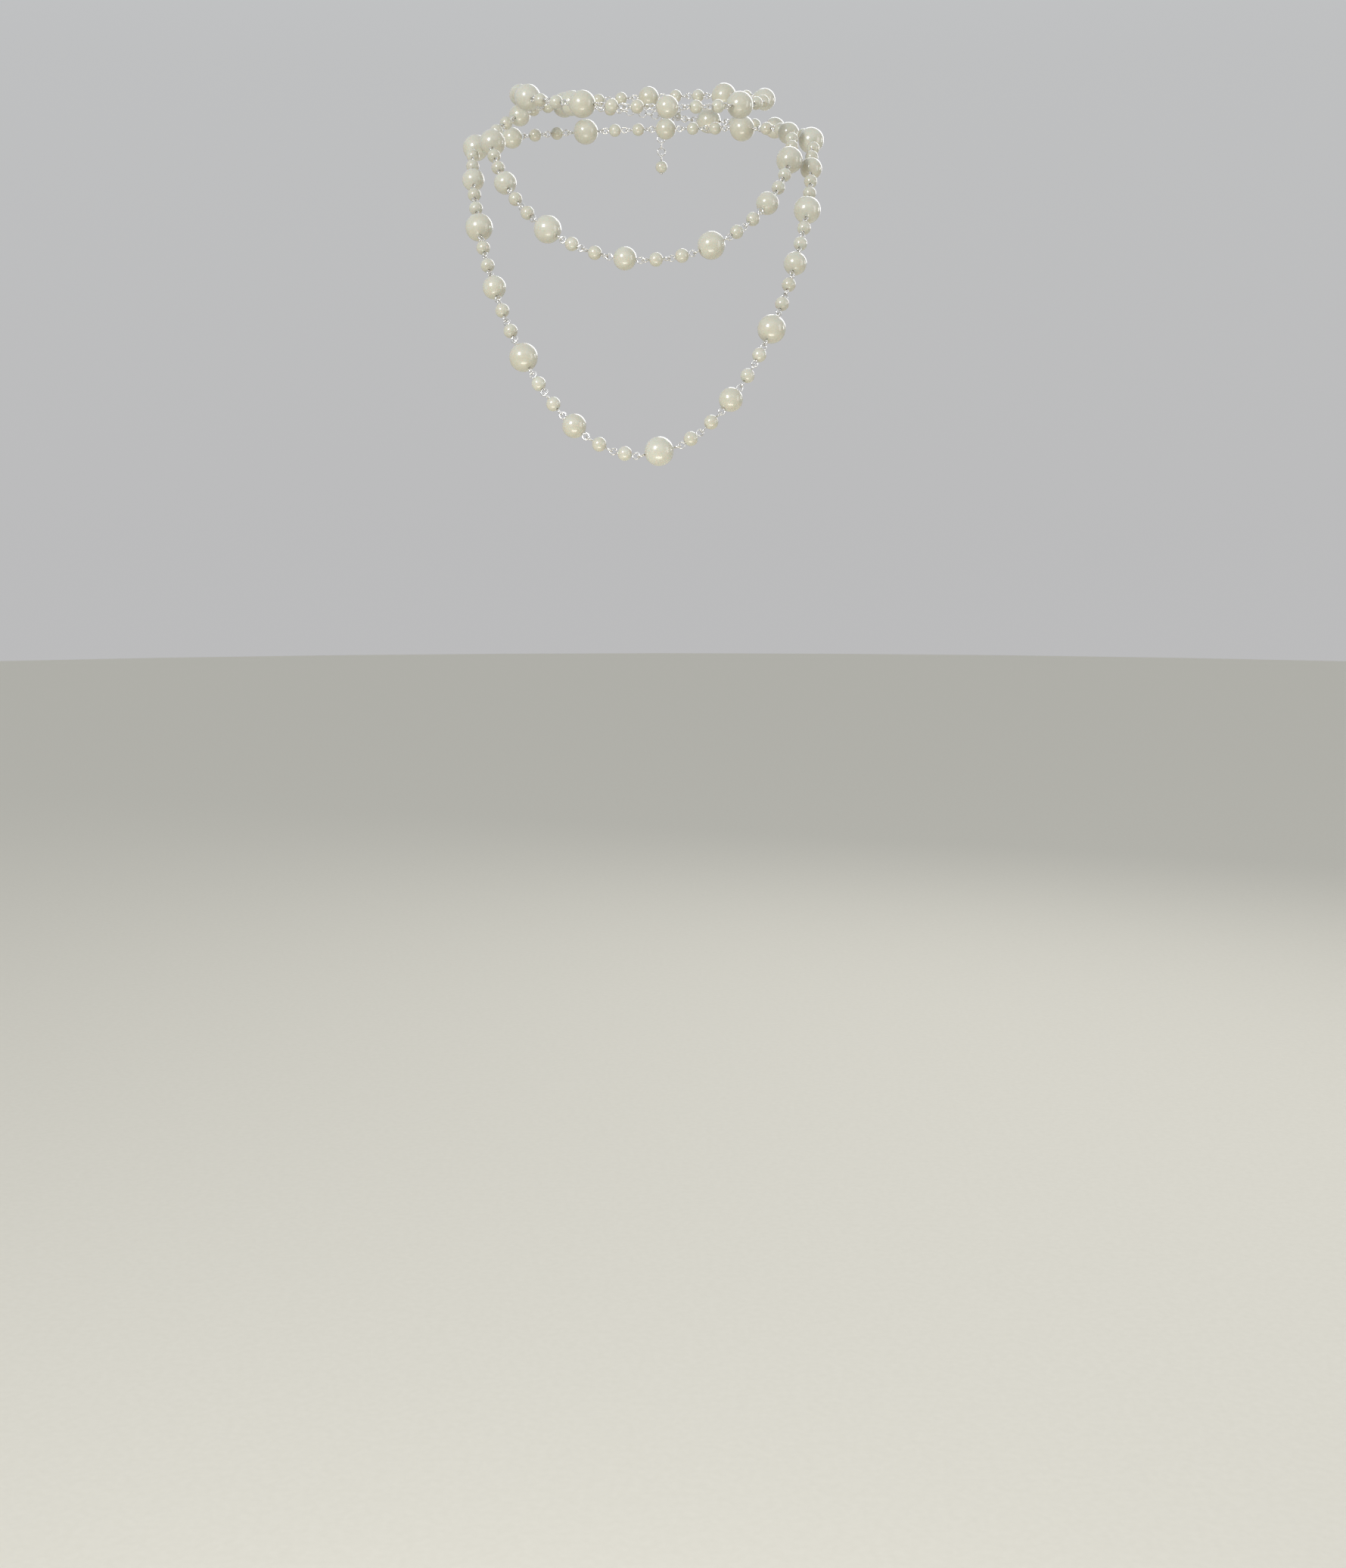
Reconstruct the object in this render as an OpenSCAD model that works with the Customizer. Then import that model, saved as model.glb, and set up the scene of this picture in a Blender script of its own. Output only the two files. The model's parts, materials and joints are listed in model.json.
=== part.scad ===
// Pearl rope necklace in three turns, draped as worn: a close turn round the neck, a second turn
// on the upper chest and a long third turn. Every pearl is threaded on its own wire eye pin and
// the eyes of neighbouring pins are looped through each other. A lobster clasp and an extender
// chain close the rope behind the neck.
// The origin is at the nape, X runs across the shoulders, -Y is the wearer's front and Z is up.

/* [Pearls] */
// diameter of a large pearl
large_d = 12; // [10:0.5:13]
// diameter of a medium pearl
medium_d = 10; // [8:0.5:11]
// diameter of a small pearl
small_d = 6; // [4:0.5:7]
// diameter of the hole drilled through a pearl
hole_d = 0.84; // [0.8:0.02:1.2]

/* [Eye pins] */
// diameter of the straight wire inside a pearl
wire_d = 0.64; // [0.5:0.02:0.7]
// diameter of the wire of an eye
eye_wire_d = 0.68; // [0.6:0.02:0.8]
// diameter of an eye's wire centreline
eye_d = 2.68; // [2.4:0.02:3.2]
// free play between two looped wires
play = 0.1; // [0.04:0.01:0.12]

/* [Clasp and extender] */
// wire diameter of the jump rings
ring_wire_d = 0.7; // [0.6:0.05:0.9]
// diameter of a jump ring's wire centreline
jump_d = 3.7; // [3.2:0.1:4.4]
// wire diameter of the extender links
link_wire_d = 0.6; // [0.5:0.05:0.7]
// length of the clasp from loop to hook wire
clasp_l = 11.93; // [11.8:0.05:12.4]
// thickness of the clasp's boss
boss_t = 2.4; // [2:0.1:3]

/* [Hidden] */
PEARL = [0.93, 0.9, 0.82];
WIRE = [0.8, 0.8, 0.82];

// route of the rope, measured from the neck's centre line; the nape is a point on its first run
nape = [0, 45, 211];
// everything in front of the neck leans a little to one side
lean = 0.022;
function leaning(p) = [p[0], p[1], p[2] - lean * p[0]];

// close turn: half width, half depth, height in front and how much it rises to the back
neck_w = 57;
neck_t = 54;
neck_z = 186;
neck_rise = 0.29;
CLOSE = [for (a = [187 : 17 : 359]) leaning([neck_w * cos(a), neck_t * sin(a),
  neck_z + neck_rise * neck_t * (1 + sin(a))])];

// a turn hanging on the chest: half width w, lowest point at height low, height gained up to
// the shoulders rise, hang 1 for half an ellipse and more for a deeper hang; the lowest point
// is front ahead of the neck's centre line, and slope and bulge carry it back up the chest
function turn(w, low, rise, hang, front, slope, bulge, arc, n) = [for (k = [-n : n])
  let (a = k * arc / n, t = rise * (1 - pow(cos(a), hang)))
    leaning([w * sin(a), slope * t + bulge * pow(t, 3) - front, low + t])];
SECOND = turn(w = 69, low = 115, rise = 72, hang = 1, front = 92, slope = 0.9, bulge = 0.00006,
  arc = 84, n = 6);
THIRD = turn(w = 78, low = 31, rise = 150, hang = 1.3, front = 139, slope = 0.48,
  bulge = 0.000019, arc = 84, n = 9);

// a run round the back of the neck from angle a to angle b: half width w about side, half depth
// d, heights za and zb at its two sides, and rise added at the back
function run(side, w, d, za, zb, rise, a, b, n) = [for (i = [0 : n])
  let (f = i / n, t = a + (b - a) * f)
    [side + w * cos(t), d * sin(t), za + (zb - za) * f + rise * sin(t)]];
RUN_0 = run(side = 0, w = 62, d = 66, za = 203, zb = 205, rise = 6, a = 101, b = 164, n = 3);
right_z = 200;
left_z = 193;
RUN_1 = run(side = 0, w = 58, d = nape[1], za = right_z, zb = left_z,
  rise = nape[2] - (right_z + left_z) / 2, a = 12, b = 168, n = 6);
RUN_2 = run(side = -4, w = 72, d = 42, za = 186, zb = 180, rise = 12, a = 12, b = 172, n = 7);
RUN_3 = run(side = 0, w = 80, d = 66, za = 181, zb = 181, rise = 24, a = 2, b = 87, n = 6);
ROUTE = concat(RUN_0, CLOSE, RUN_1, SECOND, RUN_2, THIRD, RUN_3);

// order of the pearls: large, two small, medium, two small, and so on
FIRST = 8;
COUNT = 114;
function kind(i) = i < FIRST ? [0, 0, 2, 0, 0, 1, 0, 0][i]
  : i - FIRST < 3 ? [2, 0, 0][i - FIRST]
  : [2, 0, 0, 1, 0, 0][(i - FIRST - 3) % 6];
function rad(i) = [small_d, medium_d, large_d][kind(i)] / 2;
// an eye's wire stands this far off its pearl
seat = 0.07;
// distance from a pearl's surface to the point where two eyes hold each other
lap = (eye_wire_d + play) / 2;
reach = seat + eye_wire_d / 2 + eye_d - lap;

// smooth curve through the route's points
STEPS = 8;
NR = len(ROUTE);
function rp(i) = i < 0 ? 2 * ROUTE[0] - ROUTE[1]
  : i >= NR ? 2 * ROUTE[NR - 1] - ROUTE[NR - 2]
  : ROUTE[i];
function blend(a, b, c, d, t) = 0.5 * (2 * b + (c - a) * t + (2 * a - 5 * b + 4 * c - d) * t * t
  + (3 * b - a - 3 * c + d) * t * t * t);
CURVE = [for (k = [0 : (NR - 1) * STEPS]) let (i = min(floor(k / STEPS), NR - 2),
  t = k / STEPS - i) blend(rp(i - 1), rp(i), rp(i + 1), rp(i + 2), t) - nape];

// walk along the curve, one unit at a time
function seg(p, l, i) = i + 2 < len(CURVE) && norm(CURVE[i + 1] - p) < l ? seg(p, l, i + 1) : i;
function hit(p, l, i) = let (a = CURVE[i], d = CURVE[i + 1] - a, f = a - p, qa = d * d,
  qb = 2 * f * d, qc = f * f - l * l) a + d * (sqrt(qb * qb - 4 * qa * qc) - qb) / (2 * qa);
function walk(k, p, i) = k >= COUNT ? [p]
  : let (l = 2 * (rad(k) + reach), j = seg(p, l, i)) concat([p], walk(k + 1, hit(p, l, j), j));
PIV = walk(0, CURVE[0], 0);

function unit(v) = v / norm(v);
function mid(i) = (PIV[i] + PIV[i + 1]) / 2;
function dir(i) = unit(PIV[i + 1] - PIV[i]);
// the way the wearer's body faces at a pearl
function face(i) = let (c = mid(i) + nape, n = [c[0], c[1], 25], d = dir(i))
  unit(n - (n * d) * d);
function sway(i) = (i * 37) % 15 - 7;

module place(i) {
  d = dir(i);
  n = face(i);
  e = cross(n, d);
  c = mid(i);
  multmatrix([[d[0], e[0], n[0], c[0]], [d[1], e[1], n[1], c[1]], [d[2], e[2], n[2], c[2]],
    [0, 0, 0, 1]])
    children();
}

module pearl(r) {
  rotate([0, 90, 0])
    difference() {
      sphere(r = r, $fn = 56);
      cylinder(r = hole_d / 2, h = 3 * r, center = true, $fn = 20);
    }
}

module ring(d, w) {
  rotate_extrude($fn = 40)
    translate([d / 2, 0])
      circle(r = w / 2, $fn = 16);
}

module eye_pin(r, roll_a, roll_b) {
  half = r + seat + eye_wire_d / 2;
  rotate([0, 90, 0])
    cylinder(r = wire_d / 2, h = 2 * half, center = true, $fn = 16);
  rotate([roll_a, 0, 0])
    translate([-half - eye_d / 2, 0, 0])
      ring(eye_d, eye_wire_d);
  rotate([roll_b, 0, 0])
    translate([half + eye_d / 2, 0, 0])
      ring(eye_d, eye_wire_d);
}

module pearls(a, b) {
  for (i = [a + FIRST : b + FIRST])
    place(i)
      pearl(rad(i));
}

// eyes lie flat and upright in turn, so that neighbours loop through each other squarely
module eye_pins(a, b) {
  for (i = [a + FIRST : b + FIRST]) {
    roll = (i % 2) * 90 + sway(i);
    last = i == COUNT - 1 ? 0 : roll;
    first = i == 0 ? 0 : roll;
    place(i)
      eye_pin(rad(i), first, last);
  }
}

// closure: a straight line from the rope's last eye to its first eye
GO = PIV[COUNT];
TO = PIV[0];
SPAN = norm(TO - GO);
ux = unit(TO - GO);
uy = unit(cross([0, 0, 1], -ux));
uz = cross(ux, uy);
lap_r = (ring_wire_d + eye_wire_d) / 4 + play / 2;
jump_c = jump_d / 2 - lap_r;
jump_far = jump_c + jump_d / 2;
loop_d = 2.7;
loop_w = 0.9;
hook_w = 1.1;
hook_d = 5;
// where the clasp's loop wire and hook wire lie on the line
loop_x = jump_far - (ring_wire_d + loop_w) / 2 - play / 2;
hook_x = loop_x + clasp_l;
link_x = hook_x - (hook_w + link_wire_d) / 2 - play / 2;
link_end = SPAN - jump_far + (ring_wire_d + link_wire_d) / 2 + play / 2;
LINKS = 6;
TAIL = 6;
lap_l = link_wire_d + play / 2;
link_r = (link_end - link_x + (LINKS - 1) * lap_l) / (2 * LINKS);
link_p = 2 * link_r - lap_l;

module on_line(x) {
  c = GO + ux * x;
  multmatrix([[ux[0], uy[0], uz[0], c[0]], [ux[1], uy[1], uz[1], c[1]],
    [ux[2], uy[2], uz[2], c[2]], [0, 0, 0, 1]])
    children();
}

// clasp in its own plane: x along the closure, y up, loop wire at x = 0
boss_x = 5;
boss_y = 0.6;
hook_cx = clasp_l - hook_d / 2;
module clasp_plane() {
  on_line(loop_x)
    rotate([-90, 0, 0])
      children();
}

module clasp_frame() {
  color(WIRE)
    clasp_plane()
      difference() {
        union() {
          translate([loop_d / 2, 0, 0])
            ring(loop_d, loop_w);
          translate([loop_d, 0, 0])
            rotate([0, 90, 0])
              cylinder(r = 0.7, h = boss_x - loop_d, $fn = 20);
          translate([boss_x, boss_y, 0])
            cylinder(r = 1.9, h = boss_t, center = true, $fn = 40);
          translate([hook_cx, 0, 0])
            rotate([0, 0, -185])
              rotate_extrude(angle = 240, $fn = 60)
                translate([hook_d / 2, 0])
                  circle(r = hook_w / 2, $fn = 20);
          translate([hook_cx + hook_d / 2 * cos(55), hook_d / 2 * sin(55), 0])
            sphere(r = hook_w / 2 + 0.06, $fn = 28);
        }
        translate([boss_x - 2.4, boss_y - 1, -0.5])
          cube([8, 6, 1]);
        translate([boss_x, boss_y, 0])
          cylinder(r = 0.4, h = 4, center = true, $fn = 20);
      }
}

module clasp_lever() {
  color(WIRE)
    clasp_plane()
      difference() {
        union() {
          translate([boss_x, boss_y, 0])
            cylinder(r = 0.85, h = 0.8, center = true, $fn = 28);
          translate([boss_x, boss_y + 0.05, -0.4])
            cube([hook_cx + 0.65 - boss_x, 0.8, 0.8]);
          translate([hook_cx + 0.65, boss_y + 0.45, 0])
            cylinder(r = 0.4, h = 0.8, center = true, $fn = 24);
          translate([boss_x + 0.3, boss_y + 0.6, -0.4])
            rotate([0, 0, 110])
              cube([2.3, 0.7, 0.8]);
          translate([boss_x - 0.82, boss_y + 2.64, 0])
            cylinder(r = 0.55, h = 0.8, center = true, $fn = 24);
        }
        translate([boss_x, boss_y, 0])
          cylinder(r = 0.4, h = 4, center = true, $fn = 20);
      }
}

module clasp_rivet() {
  color(WIRE)
    clasp_plane()
      translate([boss_x, boss_y, 0]) {
        cylinder(r = 0.34, h = boss_t + 0.3, center = true, $fn = 20);
        for (m = [-1, 1])
          translate([0, 0, m * (boss_t / 2 + 0.17)])
            cylinder(r = 0.62, h = 0.26, center = true, $fn = 24);
      }
}

module clasp_jump_ring() {
  color(WIRE)
    on_line(jump_c)
      ring(jump_d, ring_wire_d);
}

module extender_jump_ring() {
  color(WIRE)
    on_line(SPAN - jump_c)
      ring(jump_d, ring_wire_d);
}

module extender_links() {
  color(WIRE)
    for (k = [0 : LINKS - 1])
      on_line(link_end - link_r - k * link_p)
        rotate([(k % 2) * 90 + 90, 0, 0])
          ring(2 * link_r, link_wire_d);
}

// the unused end of the extender hangs from the side wire of the hooked link
tail_x = link_x + link_r + 0.2;
tail_c = GO + ux * tail_x + uy * link_r;
tail_z = lap_l - link_r;
module on_tail(z) {
  translate(tail_c + [0, 0, z])
    rotate([0, 0, atan2(ux[1], ux[0])])
      rotate([0, 90, 0])
        children();
}

module tail_links() {
  color(WIRE)
    for (k = [0 : TAIL - 1])
      on_tail(tail_z - k * link_p)
        rotate([(k % 2) * 90, 0, 0])
          ring(2 * link_r, link_wire_d);
}

drop_z = tail_z - (TAIL - 1) * link_p - link_r + (link_wire_d + eye_wire_d + play) / 2;
drop_c = drop_z - eye_d - eye_wire_d / 2 - seat - small_d / 2;
module tail_pearl() {
  color(PEARL)
    on_tail(drop_c)
      pearl(small_d / 2);
}

module tail_head_pin() {
  color(WIRE)
    on_tail(drop_c) {
      half = small_d / 2 + seat + eye_wire_d / 2;
      translate([-half, 0, 0])
        rotate([0, 90, 0])
          cylinder(r = wire_d / 2, h = 2 * half, $fn = 16);
      translate([-half - eye_d / 2, 0, 0])
        rotate([(TAIL % 2) * 90, 0, 0])
          ring(eye_d, eye_wire_d);
      translate([small_d / 2 + seat, 0, 0])
        rotate([0, 90, 0])
          cylinder(r = 0.75, h = 0.4, $fn = 24);
    }
}

module clasp_run_pearls() {
  color(PEARL)
    pearls(-8, -1);
}

module clasp_run_eye_pins() {
  color(WIRE)
    eye_pins(-8, -1);
}

module choker_front_pearls() {
  color(PEARL)
    pearls(0, 11);
}

module choker_front_eye_pins() {
  color(WIRE)
    eye_pins(0, 11);
}

module nape_run_1_pearls() {
  color(PEARL)
    pearls(12, 27);
}

module nape_run_1_eye_pins() {
  color(WIRE)
    eye_pins(12, 27);
}

module second_turn_upper_pearls() {
  color(PEARL) {
    pearls(28, 30);
    pearls(43, 45);
  }
}

module second_turn_upper_eye_pins() {
  color(WIRE) {
    eye_pins(28, 30);
    eye_pins(43, 45);
  }
}

module second_turn_middle_pearls() {
  color(PEARL) {
    pearls(31, 33);
    pearls(40, 42);
  }
}

module second_turn_middle_eye_pins() {
  color(WIRE) {
    eye_pins(31, 33);
    eye_pins(40, 42);
  }
}

module second_turn_lower_pearls() {
  color(PEARL)
    pearls(34, 39);
}

module second_turn_lower_eye_pins() {
  color(WIRE)
    eye_pins(34, 39);
}

module nape_run_2_pearls() {
  color(PEARL)
    pearls(46, 65);
}

module nape_run_2_eye_pins() {
  color(WIRE)
    eye_pins(46, 65);
}

module third_turn_a_pearls() {
  color(PEARL) {
    pearls(66, 68);
    pearls(94, 96);
  }
}

module third_turn_a_eye_pins() {
  color(WIRE) {
    eye_pins(66, 68);
    eye_pins(94, 96);
  }
}

module third_turn_b_pearls() {
  color(PEARL) {
    pearls(69, 71);
    pearls(91, 93);
  }
}

module third_turn_b_eye_pins() {
  color(WIRE) {
    eye_pins(69, 71);
    eye_pins(91, 93);
  }
}

module third_turn_c_pearls() {
  color(PEARL) {
    pearls(72, 74);
    pearls(88, 90);
  }
}

module third_turn_c_eye_pins() {
  color(WIRE) {
    eye_pins(72, 74);
    eye_pins(88, 90);
  }
}

module third_turn_d_pearls() {
  color(PEARL) {
    pearls(75, 77);
    pearls(85, 87);
  }
}

module third_turn_d_eye_pins() {
  color(WIRE) {
    eye_pins(75, 77);
    eye_pins(85, 87);
  }
}

module third_turn_e_pearls() {
  color(PEARL)
    pearls(78, 84);
}

module third_turn_e_eye_pins() {
  color(WIRE)
    eye_pins(78, 84);
}

module nape_run_3_pearls() {
  color(PEARL)
    pearls(97, 105);
}

module nape_run_3_eye_pins() {
  color(WIRE)
    eye_pins(97, 105);
}

clasp_run_pearls();
clasp_run_eye_pins();
choker_front_pearls();
choker_front_eye_pins();
nape_run_1_pearls();
nape_run_1_eye_pins();
second_turn_upper_pearls();
second_turn_upper_eye_pins();
second_turn_middle_pearls();
second_turn_middle_eye_pins();
second_turn_lower_pearls();
second_turn_lower_eye_pins();
nape_run_2_pearls();
nape_run_2_eye_pins();
third_turn_a_pearls();
third_turn_a_eye_pins();
third_turn_b_pearls();
third_turn_b_eye_pins();
third_turn_c_pearls();
third_turn_c_eye_pins();
third_turn_d_pearls();
third_turn_d_eye_pins();
third_turn_e_pearls();
third_turn_e_eye_pins();
nape_run_3_pearls();
nape_run_3_eye_pins();
clasp_frame();
clasp_lever();
clasp_rivet();
clasp_jump_ring();
extender_jump_ring();
extender_links();
tail_links();
tail_pearl();
tail_head_pin();
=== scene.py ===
"""A pearl rope in three turns: ivory pearls on looped wire eye pins, with a lobster clasp and an
extender chain behind the neck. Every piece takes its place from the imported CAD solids."""
import json
import math
import random

import bpy
import numpy as np
from mathutils import Matrix, Vector, noise


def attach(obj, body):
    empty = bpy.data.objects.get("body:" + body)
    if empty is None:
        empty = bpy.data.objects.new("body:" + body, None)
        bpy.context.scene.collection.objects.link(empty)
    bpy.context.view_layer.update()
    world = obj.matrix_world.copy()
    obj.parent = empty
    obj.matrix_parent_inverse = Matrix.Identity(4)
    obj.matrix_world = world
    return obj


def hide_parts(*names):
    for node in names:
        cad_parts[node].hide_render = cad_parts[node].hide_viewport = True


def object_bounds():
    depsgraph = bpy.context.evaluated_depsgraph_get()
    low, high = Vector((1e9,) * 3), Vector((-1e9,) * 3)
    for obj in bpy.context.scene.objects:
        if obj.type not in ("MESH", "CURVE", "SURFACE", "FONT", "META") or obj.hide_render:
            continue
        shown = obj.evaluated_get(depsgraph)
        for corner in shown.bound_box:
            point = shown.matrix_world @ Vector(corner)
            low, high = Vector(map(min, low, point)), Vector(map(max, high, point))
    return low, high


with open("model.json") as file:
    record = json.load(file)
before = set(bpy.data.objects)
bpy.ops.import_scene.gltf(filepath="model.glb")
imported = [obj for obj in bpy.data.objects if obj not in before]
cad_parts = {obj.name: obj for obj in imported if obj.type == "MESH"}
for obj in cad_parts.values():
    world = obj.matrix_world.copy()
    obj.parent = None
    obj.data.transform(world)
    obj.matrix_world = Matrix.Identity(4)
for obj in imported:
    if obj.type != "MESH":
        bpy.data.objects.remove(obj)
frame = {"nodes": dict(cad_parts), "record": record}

CAD_LO, CAD_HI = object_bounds()
MM = 0.001

# sizes of the real pieces, as in the CAD
EYE_R = 1.34 * MM
EYE_WIRE_R = 0.34 * MM
SHANK_R = 0.32 * MM
HOLE_R = 0.42 * MM
SEAT = 0.07 * MM
# an eye's centre, from its pearl's surface
EYE_AT = SEAT + EYE_WIRE_R + EYE_R
# how the rope's pearl nodes and the nodes of their pins end
PEARLS, PINS = "_pearls", "_eye_pins"
SCENE = bpy.context.scene.collection


# ------------------------------------------------------------- reading the CAD solids


def solids(node):
    """One array of points for each separate solid of a CAD node."""
    mesh = frame["nodes"][node].data
    co = np.empty(len(mesh.vertices) * 3, np.float32)
    mesh.vertices.foreach_get("co", co)
    points, same = np.unique(co.reshape(-1, 3), axis=0, return_inverse=True)
    edges = np.empty(len(mesh.edges) * 2, np.int32)
    mesh.edges.foreach_get("vertices", edges)
    a, b = same.reshape(-1)[edges.reshape(-1, 2)].T
    label = np.arange(len(points))
    while True:
        low = np.minimum(label[a], label[b])
        new = label.copy()
        np.minimum.at(new, a, low)
        np.minimum.at(new, b, low)
        np.minimum.at(new, label[a], low)
        np.minimum.at(new, label[b], low)
        new = new[new]
        if (new == label).all():
            break
        label = new
    return [points[label == k].astype(float) for k in np.unique(label)]


def middle(points):
    return (points.min(0) + points.max(0)) / 2


def spread_direction(points, axis):
    """The direction across axis in which the points spread most."""
    flat = points - points.mean(0)
    flat = flat - np.outer(flat @ axis, axis)
    _, vectors = np.linalg.eigh(flat.T @ flat)
    across = vectors[:, -1]
    across = across - (across @ axis) * axis
    return across / np.linalg.norm(across)


def read_pin(points, centre):
    """A pin's direction, and for each end the direction across it in which its eye lies."""
    _, vectors = np.linalg.eigh(np.cov((points - centre).T))
    axis = vectors[:, -1]
    for _ in range(3):
        along = (points - centre) @ axis
        ends = [points[along * s > along.max() - 2 * (EYE_R + EYE_WIRE_R)] for s in (-1, 1)]
        axis = ends[1].mean(0) - ends[0].mean(0)
        axis = axis / np.linalg.norm(axis)
    return axis, [spread_direction(e, axis) for e in ends]


def read_units(pearl_node, pin_node):
    """[(centre, radius, axis, (eye direction at -axis, eye direction at +axis))] for a span."""
    pins = solids(pin_node)
    units = []
    for p in solids(pearl_node):
        centre = middle(p)
        radius = float(np.mean(p.max(0) - p.min(0))) / 2
        pin = min(pins, key=lambda q: np.linalg.norm(middle(q) - centre))
        axis, eyes = read_pin(pin, centre)
        units.append((Vector(centre), radius, Vector(axis), [Vector(e) for e in eyes]))
    return sorted(units, key=lambda u: tuple(round(c, 6) for c in u[0]))


# ------------------------------------------------------------- mesh helpers


class Shape:
    """Vertices, faces and one grey value per vertex, gathered into one mesh."""

    def __init__(self):
        self.verts, self.faces, self.tints = [], [], []

    def add(self, verts, faces, tint=0.5):
        base = len(self.verts)
        self.verts += [tuple(v) for v in verts]
        self.faces += [tuple(base + i for i in f) for f in faces]
        self.tints += [tint] * len(verts)

    def piece(self, name, material, body, slot, *nodes):
        mesh = bpy.data.meshes.new(name)
        mesh.from_pydata(self.verts, [], self.faces)
        mesh.validate()
        mesh.polygons.foreach_set("use_smooth", [True] * len(mesh.polygons))
        tint = mesh.attributes.new("tint", "FLOAT", "POINT")
        tint.data.foreach_set("value", self.tints)
        mesh.materials.append(material)
        obj = bpy.data.objects.new(name, mesh)
        SCENE.objects.link(obj)
        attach(obj, body)
        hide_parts(*nodes)
        return obj


def turned(profile, steps, place, dent=None):
    """A closed profile of (x, radius) points turned about x, placed by a matrix."""
    verts, faces = [], []
    n = len(profile)
    for k in range(steps):
        a = 2 * math.pi * k / steps
        for x, r in profile:
            p = Vector((x, r * math.cos(a), r * math.sin(a)))
            verts.append(place @ (dent(p) if dent else p))
    for k in range(steps):
        for i in range(n):
            j, m = (i + 1) % n, (k + 1) % steps
            faces.append((k * n + i, k * n + j, m * n + j, m * n + i))
    return verts, faces


def wire(path, radius, sides=12, rounded=True):
    """A round wire along an open path; radius is one number, or one for each point."""
    pts = [Vector(p) for p in path]
    radii = list(radius) if hasattr(radius, "__len__") else [radius] * len(pts)
    rings = []
    side = (pts[1] - pts[0]).orthogonal().normalized()
    for i, p in enumerate(pts):
        along = (pts[min(i + 1, len(pts) - 1)] - pts[max(i - 1, 0)]).normalized()
        side = (side - side.dot(along) * along).normalized()
        rings.append((p, along, side, radii[i]))
    if rounded:
        steps = [(math.sin(math.radians(a)), math.cos(math.radians(a))) for a in (28, 55, 80)]
        (p, t, u, r), (q, v, w, k) = rings[0], rings[-1]
        start = [(p - t * r * out, t, u, r * small) for out, small in reversed(steps)]
        end = [(q + v * k * out, v, w, k * small) for out, small in steps]
        rings = start + rings + end
    verts, faces = [], []
    for p, t, u, r in rings:
        w = t.cross(u)
        for k in range(sides):
            a = 2 * math.pi * k / sides
            verts.append(p + r * (math.cos(a) * u + math.sin(a) * w))
    for i in range(len(rings) - 1):
        for k in range(sides):
            m = (k + 1) % sides
            faces.append((i * sides + k, i * sides + m, (i + 1) * sides + m, (i + 1) * sides + k))
    faces.append(tuple(reversed(range(sides))))
    faces.append(tuple(range((len(rings) - 1) * sides, len(rings) * sides)))
    return verts, faces


def axes(centre, x, y):
    """A matrix that puts x and y along these directions at centre."""
    x = x.normalized()
    y = (y - y.dot(x) * x).normalized()
    m = Matrix((x, y, x.cross(y))).transposed().to_4x4()
    m.translation = centre
    return m


# ------------------------------------------------------------- pearls


def pearl_profile(radius, rows):
    """Outer curve from one drilled end to the other, a worn lip and the drilling's wall."""
    worn = 0.16 * MM
    first = math.asin((HOLE_R + worn) / radius)
    outer = [
        (radius * math.cos(a), radius * math.sin(a))
        for a in (first + (math.pi - 2 * first) * i / rows for i in range(rows + 1))
    ]
    x = outer[0][0]
    deep = x - worn
    rim = [(x - 0.01 * MM, HOLE_R + 0.09 * MM), (x - 0.06 * MM, HOLE_R + 0.03 * MM), (deep, HOLE_R)]
    wall = [(deep - deep * 2 * i / 6, HOLE_R) for i in range(1, 6)]
    near_end = [(-px, pr) for px, pr in rim + wall]
    far_end = [(px, pr) for px, pr in reversed(rim)]
    return outer + near_end + far_end


def add_pearl(shape, centre, radius, axis, seed):
    """One drilled pearl with the slight unevenness of a dipped nacre coat."""
    rows, steps = (42, 64) if radius > 4 * MM else (30, 44)
    offset = Vector((seed * 7.3, seed * 3.1, seed * 1.7))

    def dent(p):
        away = p.normalized()
        broad = 0.0035 * noise.noise(away * 1.1 + offset)
        fine = 0.0016 * noise.noise(away * 3.5 + offset)
        swell = broad + fine
        return p * (1 + (swell if p.length > radius * 0.9 else 0) - 0.002)

    verts, faces = turned(pearl_profile(radius, rows), steps,
                          axes(centre, axis, axis.orthogonal()), dent)
    shape.add(verts, faces, random.Random(seed).random())


# ------------------------------------------------------------- eye pins


def eye_path(x_eye, turn):
    """Flat eye in (x, y): from the straight wire round to the cut end beside it."""
    neck = x_eye - EYE_R
    lead = [(neck - 0.62 * MM, 0.0), (neck - 0.4 * MM, -0.01 * MM), (neck - 0.18 * MM, -0.1 * MM),
            (neck + 0.03 * MM, -0.33 * MM)]
    first, last = math.radians(214), math.radians(514)
    count = 34
    loop = [(x_eye + EYE_R * math.cos(a), EYE_R * math.sin(a))
            for a in (first + (last - first) * i / count for i in range(count + 1))]
    return [(x, turn * y) for x, y in lead + loop]


def add_pin(shape, centre, radius, axis, eyes, seed):
    """One wire bent into an eye at each end of its pearl."""
    rng = random.Random(seed + 500)
    x_eye = radius + EYE_AT
    path = []
    for sign, across in ((-1, eyes[0]), (1, eyes[1])):
        turn = rng.choice((-1, 1))
        points = [centre + axis * (sign * x) + across * y for x, y in eye_path(x_eye, turn)]
        path += points[::-1] if sign < 0 else points
    shape.add(*wire(path, EYE_WIRE_R), rng.random())


# ------------------------------------------------------------- materials


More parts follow.
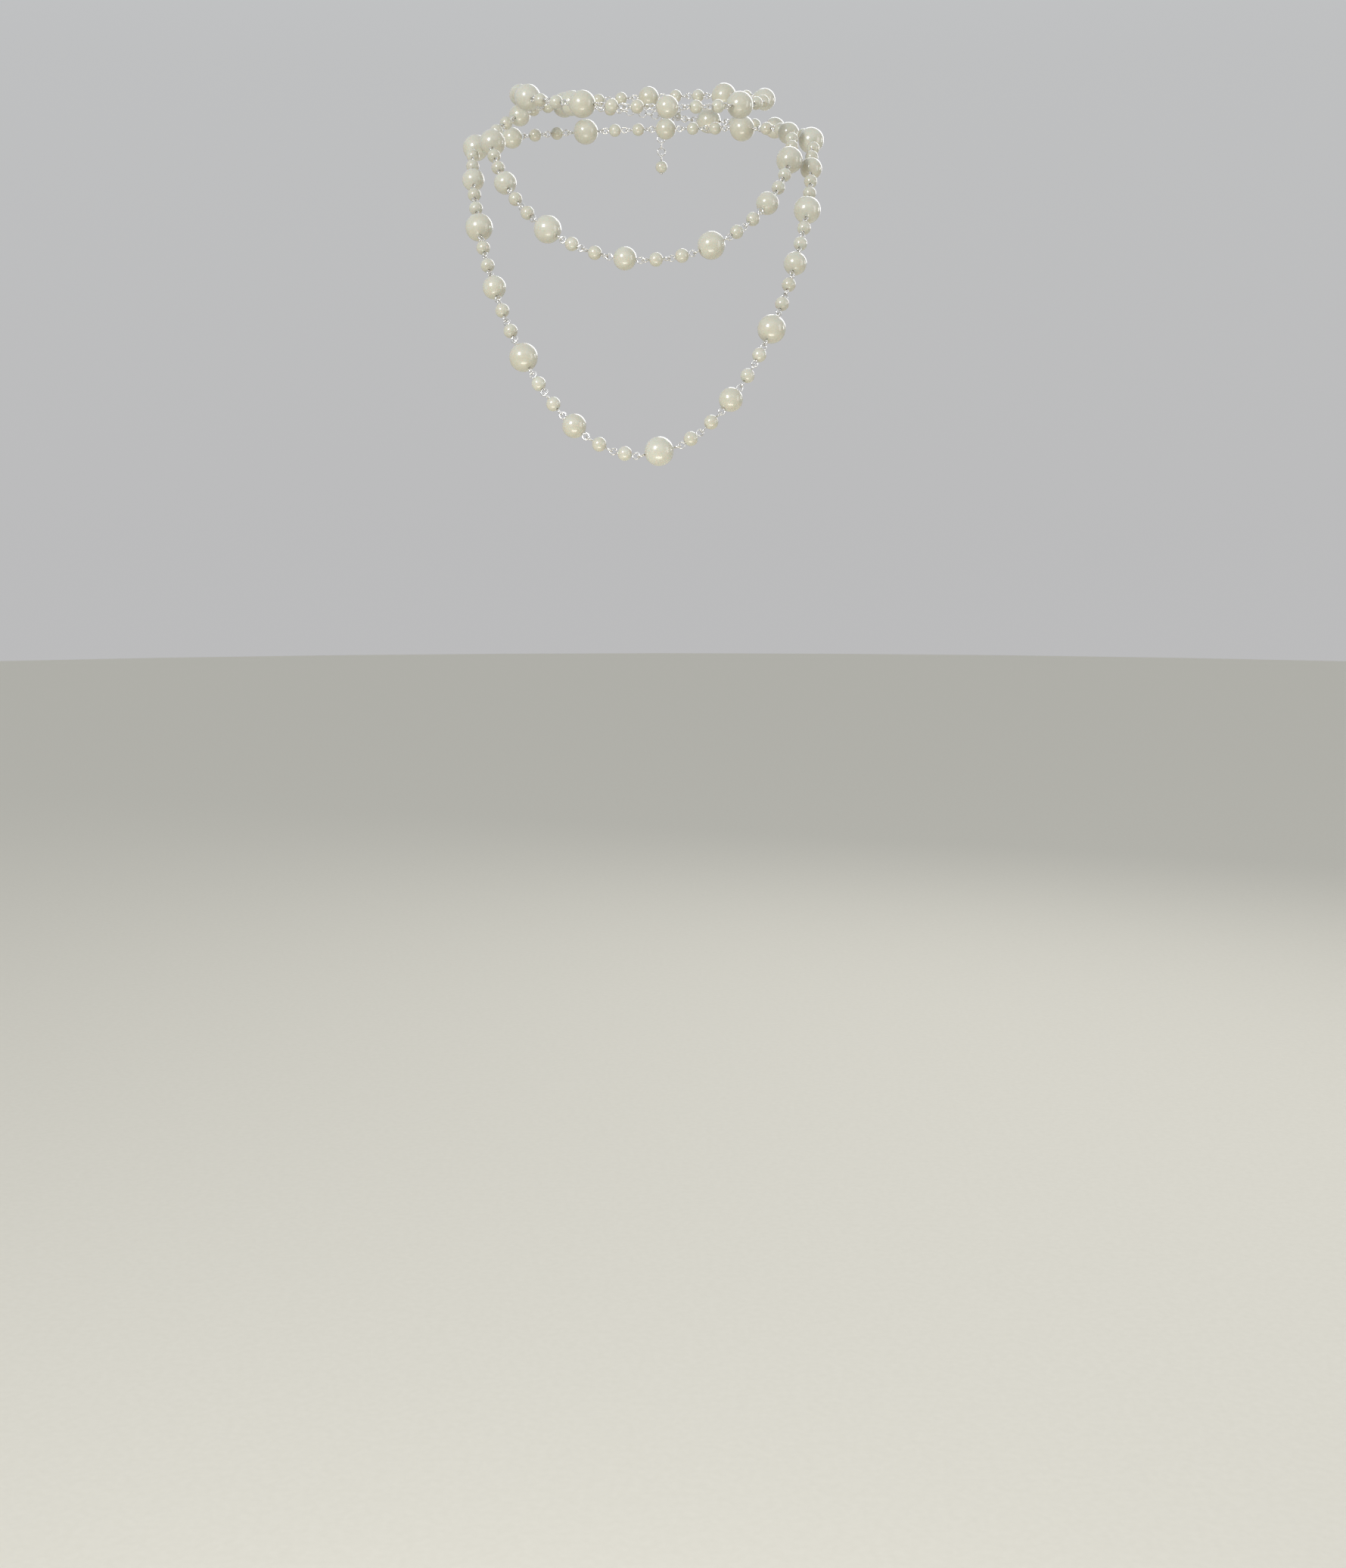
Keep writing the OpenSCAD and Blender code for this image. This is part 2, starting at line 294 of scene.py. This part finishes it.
def shader(name, **values):
    """A new material's principled shader with these values on its own sockets."""
    mat = bpy.data.materials.new(name)
    mat.use_nodes = True
    bsdf = mat.node_tree.nodes["Principled BSDF"]
    for key, value in values.items():
        bsdf.inputs[key.replace("_", " ")].default_value = value
    return mat, mat.node_tree, bsdf


def noise_node(tree, scale, detail=2.0, rough=0.5):
    coords = tree.nodes.new("ShaderNodeTexCoord")
    n = tree.nodes.new("ShaderNodeTexNoise")
    n.inputs["Scale"].default_value = scale
    n.inputs["Detail"].default_value = detail
    n.inputs["Roughness"].default_value = rough
    tree.links.new(coords.outputs["Object"], n.inputs["Vector"])
    return n.outputs["Fac"]


def mapped(tree, value, low, high, to_low, to_high):
    m = tree.nodes.new("ShaderNodeMapRange")
    for key, v in zip(("From Min", "From Max", "To Min", "To Max"), (low, high, to_low, to_high)):
        m.inputs[key].default_value = v
    tree.links.new(value, m.inputs["Value"])
    return m.outputs["Result"]


def ramp(tree, value, *stops):
    r = tree.nodes.new("ShaderNodeValToRGB")
    points = r.color_ramp.elements
    while len(points) < len(stops):
        points.new(0.5)
    for e, (at, colour) in zip(points, stops):
        e.position = at
        e.color = (*colour, 1)
    tree.links.new(value, r.inputs["Fac"])
    return r.outputs["Color"]


def mix(tree, a, b, factor):
    m = tree.nodes.new("ShaderNodeMix")
    m.data_type = "RGBA"
    for socket, value in ((m.inputs[6], a), (m.inputs[7], b), (m.inputs[0], factor)):
        if hasattr(value, "is_output"):
            tree.links.new(value, socket)
        else:
            socket.default_value = value
    return m.outputs[2]


def bump(tree, bsdf, height, strength, distance):
    b = tree.nodes.new("ShaderNodeBump")
    b.inputs["Strength"].default_value = strength
    b.inputs["Distance"].default_value = distance
    tree.links.new(height, b.inputs["Height"])
    tree.links.new(b.outputs["Normal"], bsdf.inputs["Normal"])


def nacre():
    """Dipped ivory nacre: cream body, a hard clear coat and clouded depth."""
    mat, tree, bsdf = shader(
        "ivory_nacre",
        Subsurface_Weight=0.1,
        Subsurface_Scale=0.0012,
        IOR=1.6,
        Coat_Weight=1.0,
        Coat_Roughness=0.13,
        Coat_IOR=1.5,
    )
    tint = tree.nodes.new("ShaderNodeAttribute")
    tint.attribute_name = "tint"
    base = ramp(tree, tint.outputs["Fac"], (0.0, (0.53, 0.505, 0.40)), (0.5, (0.55, 0.53, 0.43)),
                (1.0, (0.575, 0.56, 0.465)))
    cloud = noise_node(tree, 260, 4, 0.55)
    depth = ramp(tree, cloud, (0.35, (0.45, 0.415, 0.295)), (0.65, (0.61, 0.60, 0.53)))
    body = mix(tree, base, depth, 0.22)
    tree.links.new(body, bsdf.inputs["Base Color"])
    rough = mapped(tree, noise_node(tree, 900, 3), 0.3, 0.7, 0.24, 0.32)
    tree.links.new(rough, bsdf.inputs["Roughness"])
    bump(tree, bsdf, noise_node(tree, 1500, 2), 0.1, 0.00003)
    return mat


def silver():
    """Polished silver plate with fine draw lines and a little wear."""
    mat, tree, bsdf = shader("silver_plate", Metallic=1.0)
    cloud = noise_node(tree, 700, 4)
    colour = ramp(tree, cloud, (0.35, (0.66, 0.64, 0.61)), (0.6, (0.86, 0.85, 0.83)))
    tree.links.new(colour, bsdf.inputs["Base Color"])
    rough = mapped(tree, noise_node(tree, 2200, 3), 0.3, 0.7, 0.1, 0.22)
    tree.links.new(rough, bsdf.inputs["Roughness"])
    bump(tree, bsdf, noise_node(tree, 5000, 2), 0.1, 0.00002)
    return mat


NACRE, SILVER = nacre(), silver()


# ------------------------------------------------------------- the rope

BODIES = frame["record"]["behaviour"]["bodies"]
seed = 0
for body, nodes in BODIES.items():
    for node in nodes:
        if not node.endswith(PEARLS):
            continue
        span = node[: -len(PEARLS)]
        pearls, pins = Shape(), Shape()
        for centre, radius, axis, eyes in read_units(node, span + PINS):
            seed += 1
            add_pearl(pearls, centre, radius, axis, seed)
            add_pin(pins, centre, radius, axis, eyes, seed)
        pearls.piece("nacre_" + span, NACRE, body, "pearl", node)
        pins.piece("wire_" + span, SILVER, body, "wire", span + PINS)


# ------------------------------------------------------------- rings and links

JUMP_WIRE_R = 0.35 * MM
LINK_WIRE_R = 0.3 * MM
RING_GAP = 0.05 * MM
RING_TWIST = 0.05 * MM


def add_ring(shape, points, wire_r, cut_side):
    """A bent ring in the place of a CAD ring, with its cut on the given side."""
    centre = middle(points)
    _, vectors = np.linalg.eigh(np.cov((points - centre).T))
    normal = Vector(vectors[:, 0])
    radius = float(np.linalg.norm(points - centre, axis=1).max()) - wire_r
    u = (cut_side - cut_side.dot(normal) * normal).normalized()
    v = normal.cross(u)
    gap = RING_GAP / radius / 2
    path = []
    steps = 48
    for k in range(steps + 1):
        a = gap + (2 * math.pi - 2 * gap) * k / steps
        twist = RING_TWIST * (k / steps - 0.5)
        path.append(Vector(centre) + radius * (math.cos(a) * u + math.sin(a) * v) + twist * normal)
    shape.add(*wire(path, wire_r, 16, rounded=False))


(first_ring,) = solids("clasp_jump_ring")
(last_ring,) = solids("extender_jump_ring")
ALONG = Vector(middle(last_ring) - middle(first_ring)).normalized()
press = next(j for j in frame["record"]["behaviour"]["joints"] if j["name"] == "clasp_lever_press")
OUT = -Vector(press["axis"]).normalized()
UP = OUT.cross(ALONG).normalized()

for node, points in (("clasp_jump_ring", first_ring), ("extender_jump_ring", last_ring)):
    ring = Shape()
    add_ring(ring, points, JUMP_WIRE_R, -OUT)
    ring.piece(node + "_wire", SILVER, "nape", "wire", node)

CHAINS = (
    ("extender_links", "nape", -OUT - UP),
    ("tail_links", "extender_tail", -OUT - ALONG),
)
for node, body, side in CHAINS:
    links = Shape()
    for points in solids(node):
        add_ring(links, points, LINK_WIRE_R, side)
    links.piece(node + "_wire", SILVER, body, "wire", node)


# ------------------------------------------------------------- hanging end of the extender

(drop,) = solids("tail_pearl")
(hanger,) = solids("tail_head_pin")
DOWN = Vector((0, 0, -1))
drop_centre, drop_r = Vector(middle(drop)), float(np.ptp(drop[:, 0])) / 2
end_pearl = Shape()
add_pearl(end_pearl, drop_centre, drop_r, DOWN, 900)
end_pearl.piece("nacre_tail", NACRE, "extender_tail", "pearl", "tail_pearl")

HEAD_R, HEAD_H = 0.75 * MM, 0.4 * MM
upper = hanger[hanger[:, 2] > drop_centre.z + drop_r + EYE_WIRE_R]
across = Vector(spread_direction(upper, np.array(DOWN)))
x_eye = drop_r + EYE_AT
path = [drop_centre - DOWN * x + across * y for x, y in eye_path(x_eye, 1)][::-1]
path.append(drop_centre + DOWN * (drop_r + SEAT + HEAD_H / 2))
head = [(0.0, 0.1 * MM), (0.0, HEAD_R - 0.12 * MM), (0.06 * MM, HEAD_R), (0.26 * MM, HEAD_R),
        (HEAD_H - 0.03 * MM, HEAD_R - 0.2 * MM), (HEAD_H, 0.1 * MM)]
head_pin = Shape()
head_pin.add(*wire(path, EYE_WIRE_R))
head_pin.add(*turned(head, 32, axes(drop_centre + DOWN * (drop_r + SEAT), DOWN, across)))
head_pin.piece("head_pin", SILVER, "extender_tail", "wire", "tail_head_pin")


# ------------------------------------------------------------- clasp, drawn in millimetres
# in its own plane: x along the closure, y up, z outwards, loop wire at x = 0

BOSS = (5, 0.6)
BOSS_R, BOSS_T = 1.9, 2.4
LOOP_R, LOOP_WIRE_R = 1.35, 0.45
HOOK_R, HOOK_WIRE_R, HOOK_X = 2.5, 0.55, 9.43
SLOT_T, LEVER_T = 1.0, 0.8
TIP = math.radians(55)
CLASP = Matrix((ALONG, UP, OUT)).transposed().to_4x4()
CLASP.translation = Vector(press["pos_m"]) - (ALONG * BOSS[0] + UP * BOSS[1]) * MM
CLASP = CLASP @ Matrix.Scale(MM, 4)


def arc(x, y, r, start, end, count):
    """Points on an arc in the clasp's plane, angles in degrees."""
    angles = [math.radians(start + (end - start) * k / count) for k in range(count + 1)]
    return [(x + r * math.cos(a), y + r * math.sin(a), 0) for a in angles]


def slab(outline, thick):
    """A flat plate of this outline, centred on the clasp's plane."""
    n = len(outline)
    verts = [(x, y, z) for z in (-thick / 2, thick / 2) for x, y in outline]
    faces = [tuple(reversed(range(n))), tuple(range(n, 2 * n))]
    faces += [(k, (k + 1) % n, n + (k + 1) % n, n + k) for k in range(n)]
    return verts, faces


def disc(x, y, r, thick):
    return slab([p[:2] for p in arc(x, y, r, 0, 360 * 47 / 48, 47)], thick)


def bar(a, b, width, thick):
    """A straight bar from a to b, this wide in the clasp's plane."""
    a, b = Vector(a), Vector(b)
    side = (b - a).orthogonal().normalized() * width / 2
    return slab([a - side, b - side, b + side, a + side][::-1], thick)


def mesh_of(shells):
    shape = Shape()
    for verts, faces in shells:
        shape.add(verts, faces)
    mesh = bpy.data.meshes.new("work")
    mesh.from_pydata(shape.verts, [], shape.faces)
    return mesh


def cast(shells, slot=None, voxel=0.075, soften=5):
    """One skin over all the shells, with the slot cut away and every edge softened."""
    work = bpy.data.objects.new("work", mesh_of(shells))
    SCENE.objects.link(work)
    helpers = [work]

    def skin():
        step = work.modifiers.new("skin", "REMESH")
        step.mode = "VOXEL"
        step.voxel_size = voxel

    skin()
    if slot:
        tool = bpy.data.objects.new("slot", mesh_of([slot]))
        SCENE.objects.link(tool)
        helpers.append(tool)
        taken = work.modifiers.new("slot", "BOOLEAN")
        taken.operation = "DIFFERENCE"
        taken.object = tool
        skin()
    smooth = work.modifiers.new("soften", "SMOOTH")
    smooth.factor = 0.5
    smooth.iterations = soften
    bpy.context.view_layer.update()
    seen = work.evaluated_get(bpy.context.evaluated_depsgraph_get())
    mesh = bpy.data.meshes.new_from_object(seen)
    shape = Shape()
    shape.add([CLASP @ v.co for v in mesh.vertices], [tuple(f.vertices) for f in mesh.polygons])
    bpy.data.meshes.remove(mesh)
    for obj in helpers:
        bpy.data.objects.remove(obj)
    return shape


hook = arc(HOOK_X, 0, HOOK_R, -185, 55, 60)
taper = [HOOK_WIRE_R + 0.2 * max(0, 1 - k / 30) ** 2 for k in range(len(hook))]
tip = hook[-1]
frame_shells = [
    wire(arc(LOOP_R, 0, LOOP_R, 2, 358, 60), LOOP_WIRE_R, 24),
    wire([(2.2, 0, 0), (3.2, 0, 0), (4.4, 0.15, 0)], [0.6, 0.7, 0.95], 24),
    disc(*BOSS, BOSS_R, BOSS_T),
    wire(hook, taper, 24),
    wire([tip, (tip[0] - 0.12, tip[1] + 0.1, 0)], HOOK_WIRE_R + 0.06, 24),
]
slot = slab([(2.6, -0.4), (10.6, -0.4), (10.6, 5.6), (2.6, 5.6)], SLOT_T)
cast(frame_shells, slot).piece("clasp_body", SILVER, "nape", "wire", "clasp_frame")

lever_end = (HOOK_X + 0.65, BOSS[1] + 0.45)
thumb = (BOSS[0] - 0.82, BOSS[1] + 2.64)
lever_shells = [
    disc(*BOSS, 0.85, LEVER_T),
    bar((BOSS[0], BOSS[1] + 0.45), lever_end, 0.8, LEVER_T),
    disc(*lever_end, 0.4, LEVER_T),
    bar((BOSS[0] + 0.1, BOSS[1] + 0.5), thumb, 0.75, LEVER_T),
    disc(*thumb, 0.58, LEVER_T),
]
lever = cast(lever_shells, voxel=0.05, soften=3)
lever.piece("clasp_gate", SILVER, "clasp_lever", "wire", "clasp_lever")

PIN_R, PIN_HEAD_R = 0.34, 0.62
half = BOSS_T / 2 + 0.04
dome = [(half, PIN_R), (half, PIN_HEAD_R), (half + 0.1, PIN_HEAD_R - 0.02),
        (half + 0.2, PIN_HEAD_R - 0.14), (half + 0.26, PIN_HEAD_R - 0.35), (half + 0.27, 0.02)]
rivet_profile = [(-x, r) for x, r in dome] + [(x, r) for x, r in reversed(dome)]
place = CLASP @ axes(Vector((*BOSS, 0)), Vector((0, 0, 1)), Vector((1, 0, 0)))
rivet = Shape()
rivet.add(*turned(rivet_profile[::-1], 32, place))
rivet.piece("clasp_pin", SILVER, "nape", "wire", "clasp_rivet")


# ------------------------------------------------------------- stage, light and camera

CENTRE = (CAD_LO + CAD_HI) / 2
FLOOR_DROP = 0.45
FLOOR_R = 6.0
CAMERA_AT = (0.014, -0.995, -0.211)
CAMERA_PITCH_DOWN = 7.26

def area_light(name, offset, size, power, colour=(1, 1, 1)):
    """A soft panel at this offset from the necklace's middle, facing it."""
    place = CENTRE + Vector(offset)
    data = bpy.data.lights.new(name, "AREA")
    data.shape = "RECTANGLE"
    data.size, data.size_y = size
    data.energy = power
    data.color = colour
    obj = bpy.data.objects.new(name, data)
    SCENE.objects.link(obj)
    obj.location = place
    obj.visible_camera = False
    obj.rotation_mode = "QUATERNION"
    obj.rotation_quaternion = (CENTRE - place).to_track_quat("-Z", "Y")


def floor():
    mesh = bpy.data.meshes.new("floor")
    z, n = CAD_LO.z - FLOOR_DROP, 64
    turns = [2 * math.pi * k / n for k in range(n)]
    rim = [(FLOOR_R * math.cos(a), FLOOR_R * math.sin(a), z) for a in turns]
    mesh.from_pydata(rim, [], [tuple(range(n))])
    obj = bpy.data.objects.new("floor", mesh)
    SCENE.objects.link(obj)
    mat, tree, bsdf = shader("pale_floor", Roughness=0.75)
    grain = noise_node(tree, 240, 3)
    colour = ramp(tree, grain, (0.3, (0.66, 0.625, 0.54)), (0.7, (0.68, 0.645, 0.56)))
    tree.links.new(colour, bsdf.inputs["Base Color"])
    mesh.materials.append(mat)


floor()
area_light("window", (-0.6, -0.98, 0.42), (0.27, 0.31), 8, (0.96, 0.98, 1))
area_light("front", (0.25, -1.3, 0.95), (1.1, 0.8), 0.8)
area_light("low", (0.0, -0.42, -0.5), (0.42, 0.14), 0.95, (1, 0.97, 0.88))
area_light("right", (1.2, -0.5, 0.1), (0.4, 0.9), 2.0)
area_light("strip", (1.1, 0.38, 0.16), (0.1, 0.3), 1.0)
area_light("back", (0.45, 1.15, 0.6), (1.0, 0.9), 5.5)


def studio_sky():
    """Pale grey round the horizon, paler still and a little cooler overhead."""
    world = bpy.data.worlds.new("studio")
    bpy.context.scene.world = world
    world.use_nodes = True
    tree = world.node_tree
    coords = tree.nodes.new("ShaderNodeTexCoord")
    parts = tree.nodes.new("ShaderNodeSeparateXYZ")
    tree.links.new(coords.outputs["Generated"], parts.inputs["Vector"])
    sky = ramp(tree, parts.outputs["Z"], (0.0, (0.50, 0.50, 0.505)), (0.22, (0.52, 0.525, 0.53)),
               (0.6, (0.64, 0.67, 0.70)))
    tree.links.new(sky, tree.nodes["Background"].inputs["Color"])


studio_sky()

camera = bpy.data.cameras.new("camera")
camera.sensor_width = 36
camera.lens = 45.2
camera.clip_start = 0.01
eye = bpy.data.objects.new("camera", camera)
SCENE.objects.link(eye)
eye.location = CAMERA_AT
eye.rotation_euler = (math.radians(90 - CAMERA_PITCH_DOWN), 0, 0)
bpy.context.scene.camera = eye
bpy.context.scene.view_settings.view_transform = "Standard"
